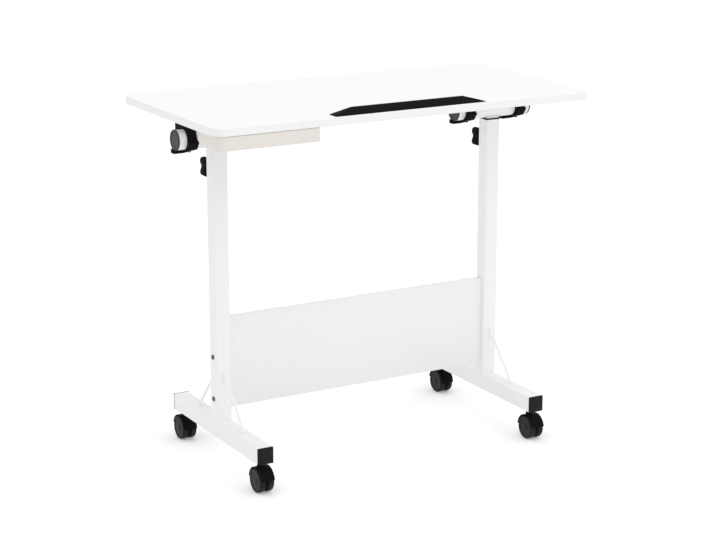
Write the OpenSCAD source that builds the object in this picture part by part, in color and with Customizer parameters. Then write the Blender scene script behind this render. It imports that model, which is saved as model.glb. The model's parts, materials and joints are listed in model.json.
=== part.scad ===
// Rolling laptop desk: a tilting desktop on two posts that slide up and down.
// X runs along the desktop, the user sits on the -Y side and Z is up.
// The origin is on the floor under the middle of the desktop, at the lowest
// height setting with the desktop level. All sizes are in millimetres.

/* [Desktop] */
// Length of the desktop with its edge band.
top_w = 800; // [640:10:1200]
// Depth of the desktop with its edge band.
top_d = 413; // [380:1:600]
// Thickness of the board.
top_t = 15; // [12:0.5:25]
// Height of the desktop's upper face above the floor.
desk_h = 695; // [600:5:900]
// Corner radius of the desktop seen from above.
corner_r = 28; // [24:1:60]
// Thickness of the edge band.
band_t = 2; // [1:0.1:3]
// Rounding of the edge band's outer edges.
band_r = 1.6; // [0.4:0.1:2]

/* [Stop ledge] */
// Length of the ledge at its base.
ledge_len = 318; // [200:2:500]
// Depth of the ledge at its base.
ledge_d = 25.8; // [16:0.2:40]
// Height of the ledge above the desktop.
ledge_h = 12; // [6:0.5:20]
// Distance from the desktop's near edge to the ledge.
ledge_in = 4.6; // [4:0.1:40]
// Distance from the ledge's near edge to its ridge.
ledge_ridge = 17.8; // [8:0.2:20]
// Length of each sloping end of the ledge.
ledge_hip = 41; // [10:1:80]
// Depth of the pocket the ledge is glued into.
pocket_d = 0.6; // [0.2:0.1:2]

/* [Tray] */
// Length of the pencil tray.
tray_w = 201; // [150:1:260]
// Depth of the pencil tray.
tray_d = 96; // [80:1:130]
// Height of the pencil tray.
tray_h = 25; // [18:1:50]
// Distance from the desktop's end to the tray.
tray_end = 7; // [4:1:40]
// Distance from the desktop's near edge to the tray.
tray_in = 2; // [0:0.5:40]
// Gap between the desktop's underside and the tray's rim.
tray_gap = 0.75; // [0.75:0.25:4]
// Corner radius at the tray's outer end.
tray_r = 22; // [6:1:22]
// Wall thickness of the tray.
tray_wall = 2.2; // [1.5:0.1:4]
// Width of the flange of a runner that carries the tray.
runner_lip = 8; // [5:0.5:12]

/* [Legs] */
// Distance from the desktop's end to the middle of a leg.
leg_in = 100; // [94:1:200]
// Width of the square outer post.
post_w = 30; // [28:1:45]
// Width of the square sliding post.
slide_w = 24; // [18:0.5:24.5]
// Wall thickness of every square tube.
wall = 1.5; // [1:0.1:2]
// Length of a foot with its end caps.
foot_len = 372; // [340:2:420]
// Width and height of a foot.
foot_w = 32; // [31:1:50]
// Height of the underside of a foot above the floor.
foot_z = 58; // [56:1:80]
// Thickness of the flange of a foot's end cap.
cap_t = 3; // [1.5:0.5:6]
// Thickness of the collar on top of an outer post.
collar_t = 2.4; // [1.5:0.1:4]
// Width of the collar on top of an outer post.
collar_w = 30.5; // [30.5:0.5:36]

/* [Modesty panel] */
// Height of the panel's lower edge above the floor.
panel_z = 114; // [100:1:160]
// Height of the panel itself.
panel_h = 179; // [120:1:240]
// Thickness of the panel.
panel_t = 12; // [9:0.5:18]
// Diameter of the bolts through the posts into the panel.
bolt_dia = 6; // [4:0.5:7]
// Length of those bolts behind their heads.
bolt_len = 60; // [45:1:80]
// Diameter of the bolts' heads.
bolt_head = 9; // [8:0.5:12]
// Height of the bolts' heads.
bolt_head_t = 2; // [1.6:0.1:4]

/* [Braces] */
// Diameter of a brace rod.
brace_dia = 5; // [3:0.5:8]
// Height of the brace's upper end above the foot.
brace_up = 97; // [60:1:160]
// Distance of the brace's lower end from the post.
brace_out = 84; // [50:1:110]

/* [Head tube and clamps] */
// Outer diameter of the tube that the desktop tilts on.
tube_dia = 38; // [32:1:42]
// Length of that tube with its end caps.
tube_len = 170; // [162:2:200]
// Distance from the desktop's underside to the tube's axis.
axis_drop = 40; // [36:1:60]
// Width of a clamp along the tube.
clamp_w = 19; // [18:0.5:26]
// Distance from the post's centre to a clamp's centre.
clamp_off = 58; // [52:1:62]
// Thickness of the clamp's ring round the tube.
clamp_ring = 3.2; // [2.6:0.1:5]
// Distance from the tube's axis to the tip of the clamp's lug.
clamp_lug = 31; // [26:0.5:34]
// Distance from the tube's axis to the clamp's far wall.
clamp_back = 33; // [28:1:45]
// Diameter of the screws that hold the clamps.
screw_dia = 4; // [3:0.5:4.5]
// Diameter of those screws' heads.
screw_head = 7; // [6:0.5:7.5]
// Length of a lever beyond its clamp.
lever_reach = 20; // [12:1:24]
// Width of a lever's grip.
lever_w = 14; // [12:1:24]
// How far the middle of a grip lies behind the tilt tube's axis.
grip_back = 3; // [0:1:4]
// Thickness of a lever's grip.
lever_t = 4.8; // [3:0.1:5]
// Diameter of a lever's pin.
pin_dia = 1.8; // [1.5:0.1:2.2]
// How far a lever's pin reaches into each side of the clamp.
pin_hold = 3.7; // [3:0.1:5]

/* [Knobs] */
// Distance of the knob's axis below the collar's upper face.
knob_drop = 42; // [36:1:80]
// Width of a knob over two of its lobes.
knob_dia = 36; // [30:1:48]
// Thickness of a knob.
knob_t = 19; // [12:1:24]
// Radius of a knob's lobes.
lobe_r = 8; // [6:0.5:9]
// Diameter of a knob's threaded stud.
stud_dia = 8; // [6:0.5:10]
// Diameter of the nut welded on the post.
nut_dia = 14; // [13:0.5:15.5]
// Thickness of that nut.
nut_t = 5; // [4:0.5:6]

/* [Casters] */
// Diameter of a caster wheel.
wheel_dia = 46; // [38:1:48]
// Width of a caster over its two wheels.
caster_w = 30; // [26:1:40]
// Distance from the swivel axis to the wheel axis.
trail = 8; // [8:1:20]
// Distance from the end of a foot to the swivel axis.
stem_in = 25; // [22:1:40]
// Radius of a caster's stem.
stem_r = 5; // [4:0.5:6]
// Radius of a caster's axle.
axle_r = 3; // [2:0.25:4]

/* [Fits] */
// Radial clearance of every turning joint.
run_fit = 0.05; // [0.02:0.01:0.1]
// Gap between faces that move past each other.
slide_gap = 0.3; // [0.25:0.05:0.6]
// Gap between fixed pieces that are pushed together.
seat_gap = 0.1; // [0.05:0.05:0.3]

/* [Hidden] */
$fn = 64;
under_z = desk_h - top_t;
axis_z = under_z - axis_drop;
tube_r = tube_dia / 2;
leg_x = top_w / 2 - leg_in;
foot_top = foot_z + foot_w;
collar_top = axis_z - tube_r - 0.4;
post_top = collar_top - collar_t;
post_in = post_w - 2 * wall;
knob_z = collar_top - knob_drop;
sleeve_h = 24;
near_y = -top_d / 2;
ledge_y = near_y + ledge_in;
ledge_back = ledge_d - ledge_ridge;
tray_x = -top_w / 2 + tray_end;
tray_y = near_y + tray_in;
tray_top = under_z - tray_gap;
tray_z = tray_top - tray_h;
deck_t = 2.4;
deck_w = tray_r + 6;
runner_t = 2.5;
runner_z = tray_top - deck_t - slide_gap - runner_t;
bolt_lo = panel_z + 0.106 * panel_h;
bolt_hi = panel_z + 0.57 * panel_h;
glide_h = 20;
glide_z = bolt_hi + 10;
cap_r = tube_r + 0.6;
clamp_r = tube_r + clamp_ring;
grip_r = cap_r + slide_gap + lever_t;
pin_r = pin_dia / 2;
knuckle_r = pin_r + 0.9;
pin_drop = tube_r + slide_gap + 0.2 + knuckle_r;
slot_w = 10.6;
pin_len = slot_w + 2 * pin_hold;
wheel_r = wheel_dia / 2;
stem_y = foot_len / 2 - stem_in;
web_w = 6;
wheel_in = web_w / 2 + 0.6;
wheel_w = caster_w / 2 - wheel_in;
hood_in = wheel_r + 1;
hood_out = wheel_r + 3.3;
socket_t = 1.5;
boss_top = foot_z - socket_t - slide_gap;
socket_h = foot_w - wall - 4;
white = [0.94, 0.94, 0.93];
edge_grey = [0.90, 0.90, 0.89];
coat = [0.92, 0.92, 0.91];
black = [0.07, 0.07, 0.07];
steel = [0.70, 0.71, 0.72];

// Flat outline of a rectangle with round corners.
module round_rect(w, d, r) {
  square([w - 2 * r, d], center = true);
  square([w, d - 2 * r], center = true);
  for (i = [-1, 1], j = [-1, 1]) translate([i * (w / 2 - r), j * (d / 2 - r)]) circle(r);
}

// Square tube standing on z = 0.
module square_tube(w, t, h) {
  difference() {
    translate([-w / 2, -w / 2, 0]) cube([w, w, h]);
    translate([t - w / 2, t - w / 2, -1]) cube([w - 2 * t, w - 2 * t, h + 2]);
  }
}

// Cylinder along X, starting at x = 0.
module rod_x(r, h) {
  rotate([0, 90, 0]) cylinder(r = r, h = h);
}

// Cylinder along Y, starting at y = 0.
module rod_y(r, h) {
  rotate([-90, 0, 0]) cylinder(r = r, h = h);
}

// Centres of the four clamps along X.
clamp_x = [-leg_x - clamp_off, -leg_x + clamp_off, leg_x - clamp_off, leg_x + clamp_off];
// Place of the clamp screws seen from above, measured from a clamp's centre.
screw_x = clamp_w / 4;
screw_y = clamp_back - 5;
screw_z = axis_z + 14;
screw_r = screw_dia / 2;

module desktop() {
  color(white) difference() {
    translate([0, 0, under_z]) linear_extrude(top_t)
      round_rect(top_w - 2 * band_t, top_d - 2 * band_t, corner_r - band_t);
    translate([-ledge_len / 2 - seat_gap, ledge_y - seat_gap, desk_h - pocket_d])
      cube([ledge_len + 2 * seat_gap, ledge_d + 2 * seat_gap, 5]);
    for (x = clamp_x, i = [-1, 1]) translate([x + i * screw_x, screw_y, under_z - 1])
      cylinder(r = screw_r + seat_gap, h = 11, $fn = 32);
  }
}

// Cross-section of the edge band, its inner face on the Y axis.
module band_section() {
  translate([0, 0]) square([band_t - band_r, top_t]);
  translate([0, band_r]) square([band_t, top_t - 2 * band_r]);
  intersection() {
    union() {
      translate([band_t - band_r, band_r]) circle(band_r, $fn = 48);
      translate([band_t - band_r, top_t - band_r]) circle(band_r, $fn = 48);
    }
    square([band_t, top_t]);
  }
}

module edge_band() {
  sx = top_w / 2 - corner_r;
  sy = top_d / 2 - corner_r;
  ri = corner_r - band_t;
  color(edge_grey) translate([0, 0, under_z]) {
    for (a = [0, 1]) rotate([0, 0, 180 * a]) {
      translate([top_w / 2 - band_t, sy, 0]) rotate([90, 0, 0])
        linear_extrude(2 * sy) band_section();
      translate([-sx, top_d / 2 - band_t, 0]) rotate([90, 0, 90])
        linear_extrude(2 * sx) band_section();
      translate([sx, sy, 0]) rotate_extrude(angle = 90) translate([ri, 0]) band_section();
      translate([-sx, sy, 0]) rotate([0, 0, 90]) rotate_extrude(angle = 90)
        translate([ri, 0]) band_section();
    }
  }
}

module stop_ledge() {
  foot_h = pocket_d;
  color(black) translate([0, ledge_y, desk_h]) intersection() {
    rotate([90, 0, 90]) translate([0, 0, -ledge_len / 2]) linear_extrude(ledge_len)
      polygon([[0, -foot_h], [ledge_d, -foot_h], [ledge_d, 0.8],
        [ledge_ridge + 1.6, ledge_h - 0.5], [ledge_ridge + 0.9, ledge_h],
        [ledge_ridge - 0.9, ledge_h], [ledge_ridge - 2, ledge_h - 0.6], [0, 0.8]]);
    rotate([90, 0, 0]) translate([0, 0, -ledge_d]) linear_extrude(ledge_d)
      polygon([[-ledge_len / 2, -foot_h], [ledge_len / 2, -foot_h], [ledge_len / 2, 0.8],
        [ledge_len / 2 - ledge_hip, ledge_h], [ledge_hip - ledge_len / 2, ledge_h],
        [-ledge_len / 2, 0.8]]);
  }
}

// Flat outline of the tray, its outer end rounder than its inner end.
module tray_outline(inset) {
  r1 = tray_r - inset;
  r2 = max(4 - inset, 0.8);
  w = tray_w - 2 * inset;
  d = tray_d - 2 * inset;
  translate([inset, inset]) {
    translate([r1, 0]) square([w - r1 - r2, d]);
    translate([0, r1]) square([r1 + 1, d - 2 * r1]);
    translate([w - r2 - 1, r2]) square([r2 + 1, d - 2 * r2]);
    for (y = [r1, d - r1]) translate([r1, y]) circle(r1);
    for (y = [r2, d - r2]) translate([w - r2, y]) circle(r2, $fn = 32);
  }
}

module tray() {
  deck_z = tray_h - deck_t;
  notch = deck_w + slide_gap - runner_lip - 1;
  color([0.90, 0.87, 0.83]) translate([tray_x, tray_y, tray_z]) {
    difference() {
      linear_extrude(tray_h) tray_outline(0);
      translate([0, 0, tray_wall]) linear_extrude(tray_h) tray_outline(tray_wall);
      translate([notch, tray_d - tray_wall - 1, runner_z - tray_z - slide_gap])
        cube([tray_w - 2 * notch, tray_wall + 2, tray_h]);
    }
    translate([0, 0, deck_z]) linear_extrude(deck_t) intersection() {
      tray_outline(0.2);
      translate([0, tray_r]) square([deck_w, tray_d - 2 * tray_r]);
    }
    translate([0, 0, deck_z]) linear_extrude(deck_t) intersection() {
      tray_outline(0.2);
      translate([tray_w - deck_w, tray_r]) square([deck_w, tray_d - 2 * tray_r]);
    }
  }
}

module tray_runners() {
  len = tray_d - 12;
  web = 3;
  color([0.90, 0.87, 0.83]) translate([tray_x + tray_w / 2, tray_y + 8, runner_z])
    for (i = [-1, 1]) scale([i, 1, 1]) {
      translate([tray_w / 2 - deck_w - slide_gap - web, 0, 0])
        cube([web, len, under_z - runner_z]);
      translate([tray_w / 2 - deck_w - slide_gap - web, 0, 0])
        cube([web + runner_lip, len, runner_t]);
    }
}

// Side view of a clamp about the tube's axis, Y across and Z up.
module clamp_side() {
  difference() {
    union() {
      circle(clamp_r);
      polygon([[-18, axis_drop], [-18, 0], [20.5, -6], [clamp_back, 10], [clamp_back, axis_drop]]);
      polygon([[-14, 4], [-21, 3], [-clamp_lug, -3], [-20, -17.5], [-14, -17.5]]);
    }
    circle(tube_r + run_fit);
  }
}

// One clamp with its slot for the lever and holes for the pin and screws.
module clamp(x) {
  boss = pin_len / 2 + 0.5;
  color(black) difference() {
    union() {
      translate([x - clamp_w / 2, 0, axis_z]) rotate([90, 0, 90])
        linear_extrude(clamp_w) clamp_side();
      translate([x, -boss, axis_z - pin_drop]) rod_y(pin_r + 1.5, 2 * boss, $fn = 32);
    }
    translate([x - clamp_w / 2 - 1, -slot_w / 2, axis_z - clamp_r - 3])
      cube([clamp_w / 2 + 1 + knuckle_r + slide_gap, slot_w, clamp_r - 6]);
    translate([x, -boss - 1, axis_z - pin_drop]) rod_y(pin_r + run_fit, 2 * boss + 2, $fn = 32);
    for (i = [-1, 1]) translate([x + i * screw_x, screw_y, axis_z]) {
      cylinder(r = screw_r + seat_gap, h = axis_drop + 1, $fn = 32);
      translate([0, 0, -6]) cylinder(r = screw_head / 2 + 0.2, h = 20, $fn = 32);
    }
  }
}

module clamp_left_outer() clamp(clamp_x[0]);
module clamp_left_inner() clamp(clamp_x[1]);
module clamp_right_inner() clamp(clamp_x[2]);
module clamp_right_outer() clamp(clamp_x[3]);

module clamp_screws() {
  color(steel) for (x = clamp_x, i = [-1, 1])
    translate([x + i * screw_x, screw_y, screw_z]) {
      cylinder(r = screw_r, h = axis_drop - 14 + 9, $fn = 32);
      translate([0, 0, -2.4]) difference() {
        cylinder(r = screw_head / 2, h = 2.4, $fn = 32);
        for (a = [0, 90]) rotate([0, 0, a]) translate([-2, -0.4, -1]) cube([4, 0.8, 2]);
      }
    }
}

module lever_pins() {
  color(steel) for (x = clamp_x) translate([x, -pin_len / 2, axis_z - pin_drop])
    rod_y(pin_r, pin_len, $fn = 32);
}

// Cross-section of a lever's grip: flat below, hollowed for the tube and its end cap.
module grip_section() {
  difference() {
    translate([grip_back - lever_w / 2, -grip_r]) square([lever_w, grip_r - 1]);
    circle(cap_r + slide_gap, $fn = 96);
  }
}

// One lever: a knuckle on the pin, a stem in the clamp's slot and a wide grip.
module lever(x) {
  back = clamp_w / 2 + 0.8;
  reach = clamp_w / 2 + lever_reach;
  half = slot_w / 2 - slide_gap;
  color(black) difference() {
    union() {
      translate([x - reach, 0, axis_z]) rotate([90, 0, 90]) linear_extrude(reach - back)
        grip_section();
      translate([x, -half, axis_z - pin_drop]) rod_y(knuckle_r, 2 * half, $fn = 32);
      translate([x, half, axis_z - pin_drop]) rotate([90, 0, 0]) linear_extrude(2 * half)
        polygon([[0, -knuckle_r], [0, knuckle_r], [-back - 2, knuckle_r - 0.8],
          [-back - 2, pin_drop - grip_r + 0.2]]);
    }
    translate([x, -lever_w, axis_z - pin_drop]) rod_y(pin_r + run_fit, 2 * lever_w, $fn = 32);
  }
}

module lever_left_outer() lever(clamp_x[0]);
module lever_left_inner() lever(clamp_x[1]);
module lever_right_inner() lever(clamp_x[2]);
module lever_right_outer() lever(clamp_x[3]);

module head_tube(s) {
  half = tube_len / 2 - cap_t;
  color(coat) translate([s * leg_x - half, 0, axis_z]) difference() {
    rod_x(tube_r, 2 * half, $fn = 96);
    translate([-1, 0, 0]) rod_x(tube_r - wall, 2 * half + 2, $fn = 96);
  }
}

module head_tube_left() head_tube(-1);
module head_tube_right() head_tube(1);

module head_tube_caps() {
  half = tube_len / 2;
  color([0.26, 0.26, 0.26]) for (s = [-1, 1], e = [-1, 1])
    translate([s * leg_x, 0, axis_z]) scale([e, 1, 1]) {
      translate([half - cap_t, 0, 0]) difference() {
        rod_x(cap_r, cap_t, $fn = 96);
        translate([cap_t - 0.8, 0, 0]) rod_x(tube_r - 2, 2, $fn = 96);
      }
      translate([half - cap_t - 9, 0, 0]) difference() {
        rod_x(tube_r - wall - seat_gap, 9, $fn = 96);
        translate([-1, 0, 0]) rod_x(tube_r - wall - 3, 9, $fn = 96);
      }
    }
}

module slide_post(s) {
  color(coat) translate([s * leg_x, 0, 0]) difference() {
    translate([0, 0, glide_z]) square_tube(slide_w, wall, axis_z - 10 - glide_z);
    translate([-slide_w, 0, axis_z]) rod_x(tube_r + seat_gap, 2 * slide_w, $fn = 96);
  }
}

module slide_post_left() slide_post(-1);
module slide_post_right() slide_post(1);

module post_glides() {
  w = post_in - 2 * slide_gap;
  color(black) for (s = [-1, 1]) translate([s * leg_x, 0, glide_z - 2.5]) {
    difference() {
      translate([-w / 2, -w / 2, 0]) cube([w, w, glide_h]);
      translate([-slide_w / 2 - seat_gap, -slide_w / 2 - seat_gap, 2.5])
        cube([slide_w + 2 * seat_gap, slide_w + 2 * seat_gap, glide_h]);
    }
  }
}

module post(s) {
  color(coat) translate([s * leg_x, 0, 0]) difference() {
    translate([0, 0, foot_top]) square_tube(post_w, wall, post_top - foot_top);
    translate([0, 0, knob_z]) rod_y(stud_dia / 2 + 0.6, post_w);
    for (z = [bolt_lo, bolt_hi]) translate([-post_w, 0, z])
      rod_x(bolt_dia / 2 + seat_gap, 2 * post_w, $fn = 32);
  }
}

module post_left() post(-1);
module post_right() post(1);

module post_collars() {
  outer = post_in - 2 * seat_gap;
  inner = slide_w + 2 * slide_gap;
  color(black) for (s = [-1, 1]) translate([s * leg_x, 0, 0]) difference() {
    union() {
      translate([-collar_w / 2, -collar_w / 2, post_top]) cube([collar_w, collar_w, collar_t]);
      translate([-outer / 2, -outer / 2, post_top - sleeve_h]) cube([outer, outer, sleeve_h]);
    }
    translate([-inner / 2, -inner / 2, post_top - sleeve_h - 1])
      cube([inner, inner, sleeve_h + collar_t + 2]);
  }
}

// Nuts welded on the back of the outer posts.
module knob_nuts() {
  color(coat) for (s = [-1, 1]) translate([s * leg_x, post_w / 2, knob_z]) difference() {
    rod_y(nut_dia / 2, nut_t);
    translate([0, -1, 0]) rod_y(stud_dia / 2 + slide_gap, nut_t + 2);
  }
}

module knob(s) {
  c = knob_dia / 2 - lobe_r;
  color(black) translate([s * leg_x, post_w / 2 + 3, knob_z]) difference() {
    union() {
      for (i = [-1, 1], j = [-1, 1]) translate([i * c, 0, j * c]) {
        rod_y(lobe_r - 1.5, knob_t, $fn = 48);
        translate([0, 1.5, 0]) rod_y(lobe_r, knob_t - 3, $fn = 48);
      }
      rod_y(c + 5, knob_t);
    }
    translate([0, -1, 0]) rod_y(nut_dia / 2 + 1, nut_t - 1);
    translate([0, -1, 0]) rod_y(stud_dia / 2 + seat_gap, knob_t - 2.9);
  }
}

module knob_left() knob(-1);
module knob_right() knob(1);

module knob_stud(s) {
  inner = slide_w / 2 + slide_gap;
  color(steel) translate([s * leg_x, inner, knob_z]) {
    rod_y(stud_dia / 2 - 1, 1);
    translate([0, 1, 0]) rod_y(stud_dia / 2, post_w / 2 + knob_t - 1 - inner - 1);
  }
}

module knob_stud_left() knob_stud(-1);
module knob_stud_right() knob_stud(1);

module foot(s) {
  body = foot_len - 2 * cap_t;
  color(coat) translate([s * leg_x, 0, foot_z]) difference() {
    translate([-foot_w / 2, -body / 2, 0]) cube([foot_w, body, foot_w]);
    translate([wall - foot_w / 2, -body / 2 - 1, wall])
      cube([foot_w - 2 * wall, body + 2, foot_w - 2 * wall]);
    for (f = [-1, 1]) translate([0, f * stem_y, -1]) cylinder(r = stem_r + 1 + seat_gap, h = 6);
  }
}

module foot_left() foot(-1);
module foot_right() foot(1);

module foot_caps() {
  plug = foot_w - 2 * wall - 2 * seat_gap;
  color(black) for (s = [-1, 1], f = [-1, 1]) translate([s * leg_x, 0, foot_z + foot_w / 2])
    scale([1, f, 1]) {
      translate([-foot_w / 2, foot_len / 2 - cap_t, -foot_w / 2]) cube([foot_w, cap_t, foot_w]);
      translate([-plug / 2, foot_len / 2 - cap_t - 10, -plug / 2]) difference() {
        cube([plug, 10, plug]);
        translate([2, -1, 2]) cube([plug - 4, 9, plug - 4]);
      }
    }
}

module modesty_panel() {
  w = 2 * leg_x - post_w - 2 * seat_gap;
  hole = bolt_len - post_w + 2;
  color(white) difference() {
    translate([-w / 2, -panel_t / 2, panel_z]) cube([w, panel_t, panel_h]);
    for (s = [-1, 1], z = [bolt_lo, bolt_hi])
      translate([s * w / 2 - hole, 0, z]) rod_x(bolt_dia / 2 + seat_gap, 2 * hole, $fn = 32);
  }
}

module panel_bolts() {
  color([0.2, 0.2, 0.2]) for (s = [-1, 1], z = [bolt_lo, bolt_hi])
    translate([s * (leg_x + post_w / 2), 0, z]) scale([-s, 1, 1]) {
      translate([-bolt_head_t, 0, 0]) difference() {
        rod_x(bolt_head / 2, bolt_head_t);
        translate([-1, 0, 0]) rod_x(2, bolt_head_t, $fn = 6);
      }
      rod_x(bolt_dia / 2, bolt_len, $fn = 32);
    }
}

module brace_rods() {
  lean = atan2(brace_out, brace_up);
  len = norm([brace_out, brace_up]);
  color(coat) for (s = [-1, 1], f = [-1, 1]) translate([s * leg_x, 0, 0]) scale([1, f, 1])
    intersection() {
      translate([0, post_w / 2, foot_top + brace_up]) rotate([lean - 180, 0, 0])
        translate([0, 0, -12]) cylinder(r = brace_dia / 2, h = len + 24, $fn = 32);
      translate([-10, post_w / 2, foot_top]) cube([20, brace_out + 20, brace_up + 20]);
    }
}

module caster_sockets() {
  color(black) for (s = [-1, 1], f = [-1, 1]) translate([s * leg_x, f * stem_y, foot_z])
    difference() {
      union() {
        translate([0, 0, -socket_t]) cylinder(r = 7.5, h = socket_t);
        cylinder(r = stem_r + 1, h = socket_h);
      }
      translate([0, 0, -socket_t - 1]) cylinder(r = stem_r + run_fit, h = socket_h + 9);
    }
}

// Hood, fin and stem of one caster, moulded in one piece.
module caster_hood(s, f) {
  color(black) translate([s * leg_x, f * stem_y, 0]) scale([1, f, 1]) difference() {
    union() {
      translate([0, trail, wheel_r]) difference() {
        translate([-caster_w / 2 + 1, 0, 0]) rod_x(hood_out, caster_w - 2);
        translate([-caster_w, -hood_out - 1, -hood_out - 1])
          cube([2 * caster_w, 2 * hood_out + 2, hood_out + 3]);
        translate([-caster_w, 4, 0]) cube([2 * caster_w, hood_out, 5]);
      }
      translate([0, 0, wheel_r + 8]) cylinder(r = stem_r + 0.8, h = boss_top - wheel_r - 8);
      translate([0, 0, wheel_r + 8]) cylinder(r = stem_r, h = foot_z + socket_h - wheel_r - 10);
      translate([-web_w / 2, trail, wheel_r]) rod_x(wheel_r - 1.2, web_w);
    }
    for (i = [-1, 1]) translate([i > 0 ? web_w / 2 : -web_w / 2 - caster_w, trail, wheel_r])
      rod_x(hood_in, caster_w);
    translate([-caster_w, trail, wheel_r]) rod_x(axle_r + run_fit, 2 * caster_w);
  }
}

module caster_hood_nl() caster_hood(-1, -1);
module caster_hood_fl() caster_hood(-1, 1);
module caster_hood_nr() caster_hood(1, -1);
module caster_hood_fr() caster_hood(1, 1);

module caster_axle(s, f) {
  half = caster_w / 2 - 2.8;
  color(steel) translate([s * leg_x - half, f * (stem_y + trail), wheel_r]) rod_x(axle_r, 2 * half);
}

module caster_axle_nl() caster_axle(-1, -1);
module caster_axle_fl() caster_axle(-1, 1);
module caster_axle_nr() caster_axle(1, -1);
module caster_axle_fr() caster_axle(1, 1);

// Half section of a wheel: radius across, width up, outer face on top.
module wheel_section() {
  e = 3;
  difference() {
    union() {
      translate([0, 1]) square([wheel_r, wheel_w - e - 1]);
      square([wheel_r - 1, wheel_w - e]);
      square([wheel_r - e, wheel_w]);
      translate([wheel_r - e, wheel_w - e]) circle(e, $fn = 48);
    }
    translate([-1, -1]) square([axle_r + run_fit + 1, wheel_w - 2.5 + 1]);
    translate([5.5, wheel_w - 0.8]) square([wheel_r - 10.5, 2]);
    translate([axle_r + 4, -1]) square([wheel_r - axle_r - 9, 4]);
    translate([-10, -10]) square([10, 60]);
  }
}

module wheel(s, f, side) {
  color(black) translate([s * leg_x, f * (stem_y + trail), wheel_r]) scale([side, 1, 1])
    translate([wheel_in, 0, 0]) rotate([0, 90, 0]) rotate_extrude($fn = 96) wheel_section();
}

module wheel_nl_a() wheel(-1, -1, -1);
module wheel_nl_b() wheel(-1, -1, 1);
module wheel_fl_a() wheel(-1, 1, -1);
module wheel_fl_b() wheel(-1, 1, 1);
module wheel_nr_a() wheel(1, -1, -1);
module wheel_nr_b() wheel(1, -1, 1);
module wheel_fr_a() wheel(1, 1, -1);
module wheel_fr_b() wheel(1, 1, 1);

desktop();
edge_band();
stop_ledge();
tray();
tray_runners();
clamp_left_outer();
clamp_left_inner();
clamp_right_inner();
clamp_right_outer();
clamp_screws();
lever_pins();
lever_left_outer();
lever_left_inner();
lever_right_inner();
lever_right_outer();
head_tube_left();
head_tube_right();
head_tube_caps();
slide_post_left();
slide_post_right();
post_glides();
post_left();
post_right();
post_collars();
knob_nuts();
knob_left();
knob_right();
knob_stud_left();
knob_stud_right();
foot_left();
foot_right();
foot_caps();
modesty_panel();
panel_bolts();
brace_rods();
caster_sockets();
caster_hood_nl();
caster_hood_fl();
caster_hood_nr();
caster_hood_fr();
caster_axle_nl();
caster_axle_fl();
caster_axle_nr();
caster_axle_fr();
wheel_nl_a();
wheel_nl_b();
wheel_fl_a();
wheel_fl_b();
wheel_nr_a();
wheel_nr_b();
wheel_fr_a();
wheel_fr_b();
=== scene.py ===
# %% [markdown]
# # A rolling laptop desk
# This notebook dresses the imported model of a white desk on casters. The model's
# solids already have their sizes and joints. Here they get finishes, softened
# edges, a studio and a camera. Everything is in metres: X runs along the desktop,
# the user sits on the -Y side and Z is up.

# %% Load the frame
import json
import math

import bmesh
import bpy
from mathutils import Matrix, Vector


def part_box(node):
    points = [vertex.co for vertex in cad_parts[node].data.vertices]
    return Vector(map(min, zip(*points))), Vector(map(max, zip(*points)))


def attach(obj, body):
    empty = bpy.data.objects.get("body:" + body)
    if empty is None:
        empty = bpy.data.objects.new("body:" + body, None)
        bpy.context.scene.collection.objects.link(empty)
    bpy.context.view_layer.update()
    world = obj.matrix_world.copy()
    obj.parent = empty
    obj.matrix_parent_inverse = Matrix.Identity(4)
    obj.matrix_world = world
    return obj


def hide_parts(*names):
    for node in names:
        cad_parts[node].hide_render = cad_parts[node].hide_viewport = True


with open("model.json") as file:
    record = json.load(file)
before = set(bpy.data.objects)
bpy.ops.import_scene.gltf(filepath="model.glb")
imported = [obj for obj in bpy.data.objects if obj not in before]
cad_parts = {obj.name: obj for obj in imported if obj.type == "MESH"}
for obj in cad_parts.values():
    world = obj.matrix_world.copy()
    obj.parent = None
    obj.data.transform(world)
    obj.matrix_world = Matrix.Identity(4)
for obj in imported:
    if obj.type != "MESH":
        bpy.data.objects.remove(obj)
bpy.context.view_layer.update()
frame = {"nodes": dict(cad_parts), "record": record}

MM = 0.001
nodes = frame["nodes"]

# %% [markdown]
# ## The camera
# The photograph looks at the desk from its front left and a little above. A long
# lens far away gives the same gentle convergence of the feet and the desktop.

# %% Place the camera
VIEW_AZIMUTH = math.radians(-29.56)
VIEW_ELEVATION = math.radians(14.87)
VIEW_TARGET = Vector((0.0, 0.0, 0.3454))
VIEW_DISTANCE = 3.8406
LENS_LENGTH = 98.93
SENSOR_WIDTH = 36.0
SIGHT_LIMIT = 100.0

view_back = Vector((
    math.sin(VIEW_AZIMUTH) * math.cos(VIEW_ELEVATION),
    -math.cos(VIEW_AZIMUTH) * math.cos(VIEW_ELEVATION),
    math.sin(VIEW_ELEVATION),
))
camera = bpy.data.objects.new("camera", bpy.data.cameras.new("camera"))
bpy.context.scene.collection.objects.link(camera)
camera.data.lens = LENS_LENGTH
camera.data.sensor_width = SENSOR_WIDTH
camera.data.clip_end = SIGHT_LIMIT
camera.location = VIEW_TARGET + view_back * VIEW_DISTANCE
camera.rotation_mode = "QUATERNION"
camera.rotation_quaternion = view_back.to_track_quat("Z", "Y")
bpy.context.scene.camera = camera
print("camera at", [round(c, 3) for c in camera.location])

# %% [markdown]
# ## The studio
# A product picture on white needs even light from all round, a floor that looks
# white to the camera and still takes a soft shadow. The floor is a plain diffuse
# plane. For rays that come from the camera, from a gloss or through glass, a
# little emission lifts it to white, so the light on the desk doesn't change.

# %% Floor, sky and lamps
scene = bpy.context.scene
scene.view_settings.view_transform = "Standard"


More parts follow.
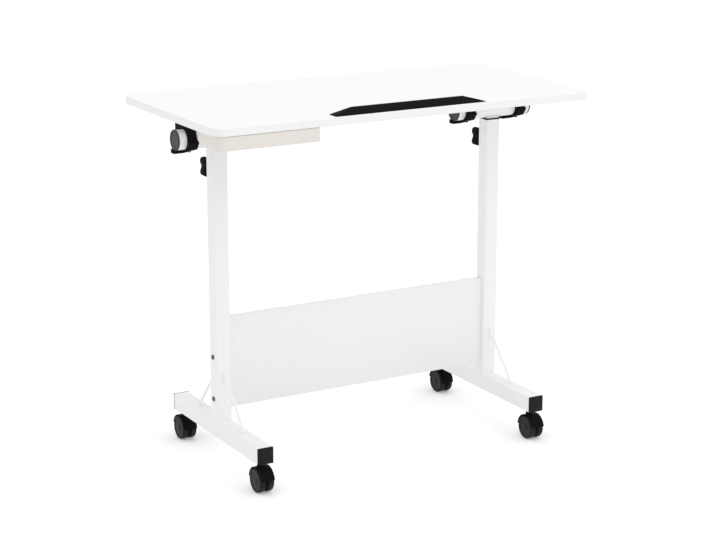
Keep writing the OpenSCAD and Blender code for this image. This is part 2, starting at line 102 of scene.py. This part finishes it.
def seen_directly(tree):
    """Adds the mask of rays that show the background to the eye."""
    path = tree.nodes.new("ShaderNodeLightPath")
    first = tree.nodes.new("ShaderNodeMath")
    first.operation = "MAXIMUM"
    second = tree.nodes.new("ShaderNodeMath")
    second.operation = "MAXIMUM"
    tree.links.new(path.outputs["Is Camera Ray"], first.inputs[0])
    tree.links.new(path.outputs["Is Glossy Ray"], first.inputs[1])
    tree.links.new(first.outputs[0], second.inputs[0])
    tree.links.new(path.outputs["Is Transmission Ray"], second.inputs[1])
    return second.outputs[0]


SKY_LIGHT = 0.86
WHITE = (1, 1, 1, 1)
world = bpy.data.worlds.new("studio")
scene.world = world
world.use_nodes = True
sky = world.node_tree
sky.nodes.clear()
sky_out = sky.nodes.new("ShaderNodeOutputWorld")
sky_light = sky.nodes.new("ShaderNodeBackground")
sky_light.inputs["Strength"].default_value = SKY_LIGHT
sky_shown = sky.nodes.new("ShaderNodeBackground")
sky_mix = sky.nodes.new("ShaderNodeMixShader")
sky.links.new(seen_directly(sky), sky_mix.inputs["Fac"])
sky.links.new(sky_light.outputs[0], sky_mix.inputs[1])
sky.links.new(sky_shown.outputs[0], sky_mix.inputs[2])
sky.links.new(sky_mix.outputs[0], sky_out.inputs["Surface"])
for shade in (sky_light, sky_shown):
    shade.inputs["Color"].default_value = WHITE

FLOOR_LIFT = 0.215
FLOOR_COLOUR = (0.93, 0.93, 0.93, 1)
FLOOR_REACH = 30
floor_paint = bpy.data.materials.new("floor_white")
floor_paint.use_nodes = True
paint = floor_paint.node_tree
paint.nodes.clear()
paint_out = paint.nodes.new("ShaderNodeOutputMaterial")
paint_diffuse = paint.nodes.new("ShaderNodeBsdfDiffuse")
paint_diffuse.inputs["Color"].default_value = FLOOR_COLOUR
paint_lift = paint.nodes.new("ShaderNodeEmission")
paint_gain = paint.nodes.new("ShaderNodeMath")
paint_gain.operation = "MULTIPLY"
paint_gain.inputs[1].default_value = FLOOR_LIFT
paint_sum = paint.nodes.new("ShaderNodeAddShader")
paint.links.new(seen_directly(paint), paint_gain.inputs[0])
paint.links.new(paint_gain.outputs[0], paint_lift.inputs["Strength"])
paint.links.new(paint_diffuse.outputs[0], paint_sum.inputs[0])
paint.links.new(paint_lift.outputs[0], paint_sum.inputs[1])
paint.links.new(paint_sum.outputs[0], paint_out.inputs["Surface"])

floor_mesh = bmesh.new()
bmesh.ops.create_grid(floor_mesh, x_segments=1, y_segments=1, size=FLOOR_REACH)
floor_data = bpy.data.meshes.new("floor")
floor_mesh.to_mesh(floor_data)
floor_mesh.free()
floor = bpy.data.objects.new("floor", floor_data)
scene.collection.objects.link(floor)
floor.data.materials.append(floor_paint)


def soft_lamp(name, place, aim, size, power):
    """Adds a square lamp that looks from one point to another."""
    lamp = bpy.data.lights.new(name, "AREA")
    lamp.size = size
    lamp.energy = power
    holder = bpy.data.objects.new(name, lamp)
    scene.collection.objects.link(holder)
    holder.location = place
    holder.rotation_mode = "QUATERNION"
    holder.rotation_quaternion = (Vector(place) - Vector(aim)).to_track_quat("Z", "Y")


# Name, place, point it looks at, width in metres, power in watts.
LAMPS = (
    ("key", (0.9, -2.6, 3.2), (0, 0, 0.4), 2.6, 18),
    ("top", (-0.3, 0.4, 3.6), (0, 0, 0.6), 2.4, 10),
)
for lamp_row in LAMPS:
    soft_lamp(*lamp_row)

# %% [markdown]
# ## Shared effects
# Two effects come back in nearly every finish. Fine grain is the small relief of a
# spray, a mould or a press plate: it changes roughness and height a little from
# point to point. Dust is the pale veil that settles on the low parts.
# Each is one node group, so that every finish only sets its own numbers.

# %% Node group helpers
def new_group(name, takes, gives):
    """Makes an empty node group with named sockets."""
    group = bpy.data.node_groups.new(name, "ShaderNodeTree")
    for label, kind, value in takes:
        socket = group.interface.new_socket(label, in_out="INPUT", socket_type=kind)
        socket.default_value = value
    for label, kind in gives:
        group.interface.new_socket(label, in_out="OUTPUT", socket_type=kind)
    start = group.nodes.new("NodeGroupInput")
    end = group.nodes.new("NodeGroupOutput")
    return group, start, end


def math_node(tree, operation, a, b=None, c=None):
    """Adds a math node; each value is a socket or a number."""
    step = tree.nodes.new("ShaderNodeMath")
    step.operation = operation
    for slot, value in enumerate((a, b, c)):
        if value is None:
            continue
        if isinstance(value, (int, float)):
            step.inputs[slot].default_value = value
        else:
            tree.links.new(value, step.inputs[slot])
    return step.outputs[0]


FLOAT = "NodeSocketFloat"
COLOUR = "NodeSocketColor"
VECTOR = "NodeSocketVector"

# %% Fine grain
MOTTLE_SCALE = 9.0
grain, grain_in, grain_end = new_group(
    "fine_grain",
    [("Place", VECTOR, (0, 0, 0)), ("Colour", COLOUR, (0.8, 0.8, 0.8, 1)),
     ("Fineness", FLOAT, 900.0), ("Mottle", FLOAT, 0.02),
     ("Roughness", FLOAT, 0.4), ("Spread", FLOAT, 0.06)],
    [("Colour", COLOUR), ("Roughness", FLOAT), ("Height", FLOAT)],
)
grain_fine = grain.nodes.new("ShaderNodeTexNoise")
grain_fine.inputs["Detail"].default_value = 3.0
grain.links.new(grain_in.outputs["Place"], grain_fine.inputs["Vector"])
grain.links.new(grain_in.outputs["Fineness"], grain_fine.inputs["Scale"])
grain_broad = grain.nodes.new("ShaderNodeTexNoise")
grain_broad.inputs["Scale"].default_value = MOTTLE_SCALE
grain_broad.inputs["Detail"].default_value = 4.0
grain.links.new(grain_in.outputs["Place"], grain_broad.inputs["Vector"])
broad_shift = math_node(grain, "SUBTRACT", grain_broad.outputs["Fac"], 0.5)
fine_shift = math_node(grain, "SUBTRACT", grain_fine.outputs["Fac"], 0.5)
half_fine = math_node(grain, "MULTIPLY", fine_shift, 0.5)
both_shift = math_node(grain, "ADD", broad_shift, half_fine)
value = math_node(grain, "MULTIPLY_ADD", both_shift, grain_in.outputs["Mottle"], 1.0)
tone = grain.nodes.new("ShaderNodeVectorMath")
tone.operation = "SCALE"
grain.links.new(grain_in.outputs["Colour"], tone.inputs[0])
grain.links.new(value, tone.inputs["Scale"])
grain.links.new(tone.outputs[0], grain_end.inputs["Colour"])
rough = math_node(grain, "MULTIPLY_ADD", both_shift, grain_in.outputs["Spread"],
                  grain_in.outputs["Roughness"])
grain.links.new(rough, grain_end.inputs["Roughness"])
grain.links.new(grain_fine.outputs["Fac"], grain_end.inputs["Height"])
print("group:", grain.name, [s.name for s in grain.interface.items_tree])

# %% Dust
CLOUD_SCALE = 60.0
DUST_DULLING = 0.5
# The colour sockets of a Mix node that mixes colours.
MIX_FROM, MIX_TO, MIX_RESULT = 6, 7, 2
dust, dust_in, dust_end = new_group(
    "settled_dust",
    [("Place", VECTOR, (0, 0, 0)), ("Colour", COLOUR, (0.8, 0.8, 0.8, 1)),
     ("Roughness", FLOAT, 0.4), ("Dust", COLOUR, (0.6, 0.58, 0.55, 1)),
     ("Amount", FLOAT, 0.1), ("Low", FLOAT, 0.0), ("High", FLOAT, 0.06)],
    [("Colour", COLOUR), ("Roughness", FLOAT)],
)
dust_split = dust.nodes.new("ShaderNodeSeparateXYZ")
dust.links.new(dust_in.outputs["Place"], dust_split.inputs[0])
dust_fall = dust.nodes.new("ShaderNodeMapRange")
dust_fall.inputs["To Min"].default_value = 1.0
dust_fall.inputs["To Max"].default_value = 0.0
dust.links.new(dust_split.outputs["Z"], dust_fall.inputs["Value"])
dust.links.new(dust_in.outputs["Low"], dust_fall.inputs["From Min"])
dust.links.new(dust_in.outputs["High"], dust_fall.inputs["From Max"])
dust_cloud = dust.nodes.new("ShaderNodeTexNoise")
dust_cloud.inputs["Scale"].default_value = CLOUD_SCALE
dust_cloud.inputs["Detail"].default_value = 5.0
dust.links.new(dust_in.outputs["Place"], dust_cloud.inputs["Vector"])
dust_cover = math_node(dust, "MULTIPLY", dust_fall.outputs["Result"],
                       dust_cloud.outputs["Fac"])
dust_cover = math_node(dust, "MULTIPLY", dust_cover, dust_in.outputs["Amount"])
dust_mix = dust.nodes.new("ShaderNodeMix")
dust_mix.data_type = "RGBA"
dust.links.new(dust_cover, dust_mix.inputs["Factor"])
dust.links.new(dust_in.outputs["Colour"], dust_mix.inputs[MIX_FROM])
dust.links.new(dust_in.outputs["Dust"], dust_mix.inputs[MIX_TO])
dust.links.new(dust_mix.outputs[MIX_RESULT], dust_end.inputs["Colour"])
dust_rough = math_node(dust, "MULTIPLY_ADD", dust_cover, DUST_DULLING,
                       dust_in.outputs["Roughness"])
dust.links.new(dust_rough, dust_end.inputs["Roughness"])
print("group:", dust.name)

# %% [markdown]
# ## Finishes
# Every finish is a Principled shader whose colour and roughness come through the
# two groups and whose relief goes through a Bump node. The coordinates are the
# object's own, in metres, so a grain of 1 mm has a scale near 1000.

# %% The finish builder
def finish(name, colour, roughness, fineness, relief, mottle=0.02, spread=0.06,
           metal=0.0, dusty=0.0, dust_high=0.06, level=0.5):
    """Makes one finish; relief is the depth of the grain in metres."""
    material = bpy.data.materials.new(name)
    material.use_nodes = True
    tree = material.node_tree
    shader = tree.nodes["Principled BSDF"]
    shader.inputs["Metallic"].default_value = metal
    shader.inputs["Specular IOR Level"].default_value = level
    place = tree.nodes.new("ShaderNodeTexCoord").outputs["Object"]
    skin = tree.nodes.new("ShaderNodeGroup")
    skin.node_tree = grain
    tree.links.new(place, skin.inputs["Place"])
    skin.inputs["Colour"].default_value = (*colour, 1)
    skin.inputs["Fineness"].default_value = fineness
    skin.inputs["Mottle"].default_value = mottle
    skin.inputs["Roughness"].default_value = roughness
    skin.inputs["Spread"].default_value = spread
    veil = tree.nodes.new("ShaderNodeGroup")
    veil.node_tree = dust
    tree.links.new(place, veil.inputs["Place"])
    veil.inputs["Amount"].default_value = dusty
    veil.inputs["High"].default_value = dust_high
    tree.links.new(skin.outputs["Colour"], veil.inputs["Colour"])
    tree.links.new(skin.outputs["Roughness"], veil.inputs["Roughness"])
    tree.links.new(veil.outputs["Colour"], shader.inputs["Base Color"])
    tree.links.new(veil.outputs["Roughness"], shader.inputs["Roughness"])
    bump = tree.nodes.new("ShaderNodeBump")
    bump.inputs["Strength"].default_value = 1.0
    bump.inputs["Distance"].default_value = relief
    tree.links.new(skin.outputs["Height"], bump.inputs["Height"])
    tree.links.new(bump.outputs["Normal"], shader.inputs["Normal"])
    return material


# %% The desk's finishes
white_board = finish("white_melamine", (0.935, 0.935, 0.93), 0.42, 1400, 0.00004,
                     mottle=0.012, spread=0.08)
white_edge = finish("white_edge_band", (0.94, 0.94, 0.935), 0.36, 900, 0.00003,
                    mottle=0.012)
powder_coat = finish("white_powder_coat", (0.95, 0.95, 0.945), 0.38, 1100, 0.00010,
                     mottle=0.015, dusty=0.05, dust_high=0.12)
black_plastic = finish("black_moulded_plastic", (0.0075, 0.0075, 0.0075), 0.55, 2200,
                       0.00006, mottle=0.25, spread=0.12, level=0.03)
# A lit copy of the black plastic for the foot caps: painted light, not a greyer
# plastic.
lit_copy_black_plastic = finish("black_plastic_painted_lit_copy", (0.013, 0.013, 0.013), 0.46, 2000,
                     0.00005, mottle=0.25, spread=0.12, level=0.12)
wheel_nylon = finish("black_wheel_nylon", (0.009, 0.009, 0.009), 0.44, 1600, 0.00005,
                     mottle=0.25, spread=0.12, dusty=0.02, dust_high=0.03, level=0.16)
grey_caps = finish("dark_grey_cap_plastic", (0.052, 0.052, 0.052), 0.50, 1800,
                   0.00005, mottle=0.12, level=0.22)
cream_plastic = finish("cream_tray_plastic", (0.83, 0.79, 0.74), 0.42, 1500,
                       0.00004, mottle=0.02)
bright_steel = finish("zinc_plated_steel", (0.62, 0.63, 0.65), 0.30, 1500, 0.00002,
                      mottle=0.10, spread=0.15, metal=1.0)
dark_screws = finish("dark_zinc_screws", (0.10, 0.10, 0.105), 0.35, 1500, 0.00002,
                     mottle=0.2, metal=0.8)
FINISH_OF_SLOT = {
    "white_board": white_board, "white_edge": white_edge,
    "white_powder_coat": powder_coat, "black_plastic": black_plastic,
    "wheel_nylon": wheel_nylon, "grey_caps": grey_caps,
    "cream_plastic": cream_plastic, "bright_steel": bright_steel,
    "dark_screws": dark_screws,
}
# The caps of the feet are the same black plastic as the other mouldings. Their finish
# is a lighter, glossier copy of it, painted light for their place outside the desktop's
# shade.
FINISH_OF_NODE = {"foot_caps": lit_copy_black_plastic}
for part in frame["record"]["subparts"]:
    shown = nodes[part["node"]]
    shown.data.materials.clear()
    shown.data.materials.append(
        FINISH_OF_NODE.get(part["node"], FINISH_OF_SLOT[part["material_slot"]]))
print("finishes:", len(FINISH_OF_SLOT) + len(FINISH_OF_NODE))

# %% [markdown]
# ## Piece helpers
# A new piece is built as a bmesh, gets soft edges from a bevel and becomes an
# object that rides on one body of the frame. Smooth shading stops where two faces
# meet at more than 30 degrees, so that flat faces stay flat beside the bevels.

# %% From bmesh to piece
SHARP = math.radians(30)
TOUCHING = 1e-6


def finish_for(slot_name, replaced):
    """The finish of a piece: its node's own, or else its slot's."""
    own = [FINISH_OF_NODE[n] for n in replaced if n in FINISH_OF_NODE]
    return own[0] if own else FINISH_OF_SLOT[slot_name]


def keep(mesh, name, body, like, *stands_for):
    """Turns a finished bmesh into a piece with the finish of a slot."""
    bmesh.ops.remove_doubles(mesh, verts=mesh.verts, dist=TOUCHING)
    bmesh.ops.recalc_face_normals(mesh, faces=mesh.faces)
    for face in mesh.faces:
        face.smooth = True
    data = bpy.data.meshes.new(name)
    mesh.to_mesh(data)
    mesh.free()
    data.set_sharp_from_angle(angle=SHARP)
    piece = bpy.data.objects.new(name, data)
    scene.collection.objects.link(piece)
    data.materials.append(finish_for(like, stands_for))
    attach(piece, body)
    if stands_for:
        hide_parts(*stands_for)
    return piece


def round_edges(mesh, edges, radius, steps=3):
    """Bevels some edges of a bmesh to a radius."""
    mesh.normal_update()
    bmesh.ops.bevel(mesh, geom=list(edges), offset=radius, offset_type="OFFSET",
                    affect="EDGES", segments=steps, profile=0.5, material=-1,
                    clamp_overlap=True)


CREASE = math.radians(35)


def sharp_edges(mesh, angle=CREASE):
    """The edges between faces that meet at more than an angle."""
    return [e for e in mesh.edges
            if len(e.link_faces) == 2 and e.calc_face_angle(0.0) > angle]


def block(low, high):
    """A plain box between two corners, as a bmesh."""
    mesh = bmesh.new()
    bmesh.ops.create_cube(mesh, size=1.0)
    low, high = Vector(low), Vector(high)
    bmesh.ops.scale(mesh, vec=high - low, verts=mesh.verts)
    bmesh.ops.translate(mesh, vec=(low + high) / 2, verts=mesh.verts)
    return mesh


FLAT = math.radians(1.0)


def softened(node, radius, steps=2):
    """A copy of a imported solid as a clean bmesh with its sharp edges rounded."""
    mesh = bmesh.new()
    mesh.from_mesh(nodes[node].data)
    bmesh.ops.remove_doubles(mesh, verts=mesh.verts, dist=2 * TOUCHING)
    bmesh.ops.dissolve_limit(mesh, angle_limit=FLAT, verts=mesh.verts,
                             edges=mesh.edges)
    round_edges(mesh, sharp_edges(mesh), radius, steps)
    return mesh


# %% [markdown]
# ## Square tubes
# The posts and feet are bent from strip and welded, so their four long edges are
# round on the outside. A cube gets those edges bevelled, loses its two ends and is
# given a wall by solidify, which keeps the ends open like a sawn tube.

# %% Posts and feet
TUBE_CORNER = 2.6 * MM
TUBE_CORNER_STEPS = 5
TUBE_WALL = 1.5 * MM
NEARLY_ALONG = 0.9


def square_tube(name, node, axis, body):
    """A square tube with round long edges in place of a packed one."""
    low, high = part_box(node)
    mesh = block(low, high)
    mesh.normal_update()
    along = [e for e in mesh.edges
             if abs((e.verts[0].co - e.verts[1].co).normalized()[axis]) > NEARLY_ALONG]
    round_edges(mesh, along, TUBE_CORNER, TUBE_CORNER_STEPS)
    mesh.normal_update()
    ends = [f for f in mesh.faces if abs(f.normal[axis]) > NEARLY_ALONG]
    bmesh.ops.delete(mesh, geom=ends, context="FACES_ONLY")
    bmesh.ops.recalc_face_normals(mesh, faces=mesh.faces)
    bmesh.ops.solidify(mesh, geom=mesh.faces[:], thickness=TUBE_WALL)
    return keep(mesh, name, body, "white_powder_coat", node)


for side in ("left", "right"):
    tube = square_tube("outer_post_" + side, "post_" + side, 2, "base")
    square_tube("foot_tube_" + side, "foot_" + side, 1, "base")
    square_tube("sliding_post_" + side, "slide_post_" + side, 2, "carriage")
    print(tube.name, [round(d, 4) for d in tube.dimensions])

# %% [markdown]
# ## Moulded and sawn pieces
# The clamps, levers, ledge, tray, caps and collars already have the right form in
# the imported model, down to their slots and bores. A real mould or saw never leaves
# a knife edge, so each is copied, its flat faces are merged and its sharp edges are
# bevelled to a small radius that catches the light.

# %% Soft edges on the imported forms
BODY_OF = {n: b for b, group in frame["record"]["behaviour"]["bodies"].items()
           for n in group}
SLOT_OF = {p["node"]: p["material_slot"] for p in frame["record"]["subparts"]}
CLAMPS = ("left_outer", "left_inner", "right_inner", "right_outer")
CASTERS = ("nl", "fl", "nr", "fr")
EDGE_RADIUS = {"stop_ledge": 0.7, "tray": 0.3, "tray_runners": 0.4,
               "foot_caps": 1.2, "post_collars": 0.45, "modesty_panel": 0.8,
               "panel_bolts": 0.5, "post_glides": 0.5, "knob_nuts": 0.5}
for corner in CLAMPS:
    EDGE_RADIUS["clamp_" + corner] = 0.7
    EDGE_RADIUS["lever_" + corner] = 0.6
for corner in CASTERS:
    EDGE_RADIUS["caster_hood_" + corner] = 0.7
for node, radius in EDGE_RADIUS.items():
    soft = keep(softened(node, radius * MM), "soft_" + node, BODY_OF[node],
                SLOT_OF[node], node)
    print(soft.name, len(soft.data.polygons), "faces")

# %% [markdown]
# ## Turned pieces
# Wheels and end caps are round, so their half section is drawn as a short chain of
# points, radius first, and spun once round the axis. The chain rounds every corner
# that a mould would round.

# %% Spin a half section about X
def turned(section, centre, facing, steps=72):
    """Spins (radius, along) points about the X axis; facing is 1 or -1."""
    mesh = bmesh.new()
    chain = [mesh.verts.new((facing * along, 0.0, radius)) for radius, along in section]
    edges = [mesh.edges.new(pair) for pair in zip(chain, chain[1:])]
    bmesh.ops.spin(mesh, geom=chain + edges, cent=(0, 0, 0), axis=(1, 0, 0),
                   dvec=(0, 0, 0), angle=2 * math.pi, steps=steps, use_merge=True)
    bmesh.ops.remove_doubles(mesh, verts=mesh.verts, dist=TOUCHING)
    bmesh.ops.translate(mesh, vec=centre, verts=mesh.verts)
    return mesh


def arc(radius, along, size, start, end, steps=4):
    """Points of a quarter-round in a half section; angles in degrees."""
    turn = [math.radians(start + (end - start) * i / steps) for i in range(steps + 1)]
    return [(radius + size * math.cos(t), along + size * math.sin(t)) for t in turn]


# %% [markdown]
# Each caster has two wheels on one axle. The outer face is a shallow dish round a
# flush hub, the tread is a little crowned and both of its edges are round.

# %% The eight wheels
# All in millimetres; the dish, the lip and the hub are measured on the outer face.
AXLE_BORE = 3.05
AXLE_DEPTH = 2.4
INNER_ROUND = 1.2
TREAD_ROUND = 3.0
CROWN_AT = 0.45
LIP_ROUND = 0.5
LIP_INSET = 4.6
DISH_DEPTH = 0.9
DISH_INSET = 5.6
DISH_INNER = 8.2
HUB_RADIUS = 6.2
HUB_ROUND = 0.8


def wheel_section(radius, width):
    """Half section of a wheel, inner side at zero, in metres."""
    r, w = radius / MM, width / MM
    dish = w - DISH_DEPTH
    points = [(AXLE_BORE, 0.0)]
    points += arc(r - INNER_ROUND, INNER_ROUND, INNER_ROUND, -90, -15)
    points += [(r, w * CROWN_AT)]
    points += arc(r - TREAD_ROUND, w - TREAD_ROUND, TREAD_ROUND, 10, 90, 6)
    points += [(r - TREAD_ROUND - 1.0, w)]
    points += arc(r - LIP_INSET, w - LIP_ROUND, LIP_ROUND, 90, 180, 2)
    points += [(r - DISH_INSET, dish), (DISH_INNER, dish)]
    points += arc(HUB_RADIUS, dish, HUB_ROUND, 0, 90, 3)
    points += [(0.0, w - 0.05), (0.0, w - AXLE_DEPTH)]
    points += [(AXLE_BORE, w - AXLE_DEPTH), (AXLE_BORE, 0.0)]
    return [(a * MM, b * MM) for a, b in points]


for corner in CASTERS:
    for half, facing in (("a", -1), ("b", 1)):
        node = "wheel_%s_%s" % (corner, half)
        low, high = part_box(node)
        middle = (low + high) / 2
        inner = high.x if facing < 0 else low.x
        mesh = turned(wheel_section((high.z - low.z) / 2, high.x - low.x),
                      (inner, middle.y, middle.z), facing)
        made = keep(mesh, "moulded_" + node, BODY_OF[node], "wheel_nylon", node)
print(made.name, [round(d, 4) for d in made.dimensions])

# %% [markdown]
# The tilt tubes end in dark caps: a low disc with a round rim and a face set back
# by less than a millimetre, and a plug that goes into the tube.

# %% The four tube caps
# All in millimetres, measured out from the tube's end.
CAP_FACE = 2.2
CAP_STEP = 2.9
CAP_RIM = 3.0
CAP_SHOULDER = 1.3
CAP_HEEL = 0.3
PLUG_RADIUS = 17.4
PLUG_WALL = 2.9
PLUG_END = -9.0
PLUG_CHAMFER = 0.4
CAP_BACK = -2.0
caps_low, caps_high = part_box("head_tube_caps")
cap_radius = (caps_high.z - caps_low.z) / 2 / MM
tube_height = (caps_high.z + caps_low.z) / 2
cap_section = [(0.0, CAP_FACE), (cap_radius - CAP_RIM, CAP_FACE),
               (cap_radius - 2 * CAP_SHOULDER, CAP_STEP)]
cap_section += arc(cap_radius - CAP_SHOULDER, CAP_RIM - CAP_SHOULDER, CAP_SHOULDER,
                   90, 0, 5)
cap_section += arc(cap_radius - CAP_HEEL, CAP_HEEL, CAP_HEEL, 0, -90, 2)
cap_section += [
    (PLUG_RADIUS, 0.0), (PLUG_RADIUS, PLUG_END + PLUG_CHAMFER),
    (PLUG_RADIUS - PLUG_CHAMFER, PLUG_END),
    (PLUG_RADIUS - PLUG_WALL + 0.1, PLUG_END), (PLUG_RADIUS - PLUG_WALL, CAP_BACK),
    (0.0, CAP_BACK)]
cap_section = [(a * MM, b * MM) for a, b in cap_section]
caps = bmesh.new()
for node in ("head_tube_left", "head_tube_right"):
    low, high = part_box(node)
    for facing, end in ((-1, low.x), (1, high.x)):
        one = turned(cap_section, (end, 0.0, tube_height), facing, 64)
        bmesh.ops.recalc_face_normals(one, faces=one.faces)
        holder = bpy.data.meshes.new("one_cap")
        one.to_mesh(holder)
        one.free()
        caps.from_mesh(holder)
        bpy.data.meshes.remove(holder)
round_caps = keep(caps, "tube_end_caps", "carriage", "grey_caps", "head_tube_caps")
print(round_caps.name, len(round_caps.data.polygons), "faces")

# %% [markdown]
# ## Knobs
# A star knob is a short drum whose rim swells into four lobes. A circle's points
# are pushed in and out by a cosine of four times their angle, the face is extruded
# to the knob's thickness, and both rims get a generous round.

# %% The two knobs
LOBES = 4
KNOB_MEAN = 18.8 * MM
KNOB_SWELL = 3.8 * MM
KNOB_RIM = 2.4 * MM
RIM_ANGLE = math.radians(60)
KNOB_POINTS = 96
AREA_WEIGHT = 1e3
# Width and height of the groove and the pad on a knob's face.
FACE_STEPS = ((1.6 * MM, -0.5 * MM), (2.2 * MM, 0.4 * MM))


def star_knob(name, node, body):
    """A four-lobed knob with its axis along Y."""
    low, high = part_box(node)
    middle = (low + high) / 2
    mesh = bmesh.new()
    bmesh.ops.create_circle(mesh, cap_ends=True, segments=KNOB_POINTS, radius=1.0)
    bmesh.ops.rotate(mesh, cent=(0, 0, 0), verts=mesh.verts,
                     matrix=Matrix.Rotation(math.radians(90), 3, "X"))
    for point in mesh.verts:
        turn = math.atan2(point.co.z, point.co.x)
        point.co *= KNOB_MEAN - KNOB_SWELL * math.cos(LOBES * turn)
    grown = bmesh.ops.extrude_face_region(mesh, geom=mesh.faces[:])
    top = [g for g in grown["geom"] if isinstance(g, bmesh.types.BMVert)]
    bmesh.ops.translate(mesh, verts=top, vec=(0, high.y - low.y, 0))
    bmesh.ops.recalc_face_normals(mesh, faces=mesh.faces)
    round_edges(mesh, sharp_edges(mesh, RIM_ANGLE), KNOB_RIM, 4)
    mesh.normal_update()
    # The outer face: the larger of the flat ones, and the one further from the post.
    face = max(mesh.faces,
               key=lambda f: f.calc_center_median().y + f.calc_area() * AREA_WEIGHT)
    for thickness, depth in FACE_STEPS:
        bmesh.ops.inset_region(mesh, faces=[face], thickness=thickness, depth=depth)
    bmesh.ops.translate(mesh, vec=(middle.x, low.y, middle.z), verts=mesh.verts)
    return keep(mesh, name, body, "black_plastic", node)


for side in ("left", "right"):
    star = star_knob("star_knob_" + side, "knob_" + side, "knob_" + side)
print(star.name, [round(d, 4) for d in star.dimensions])
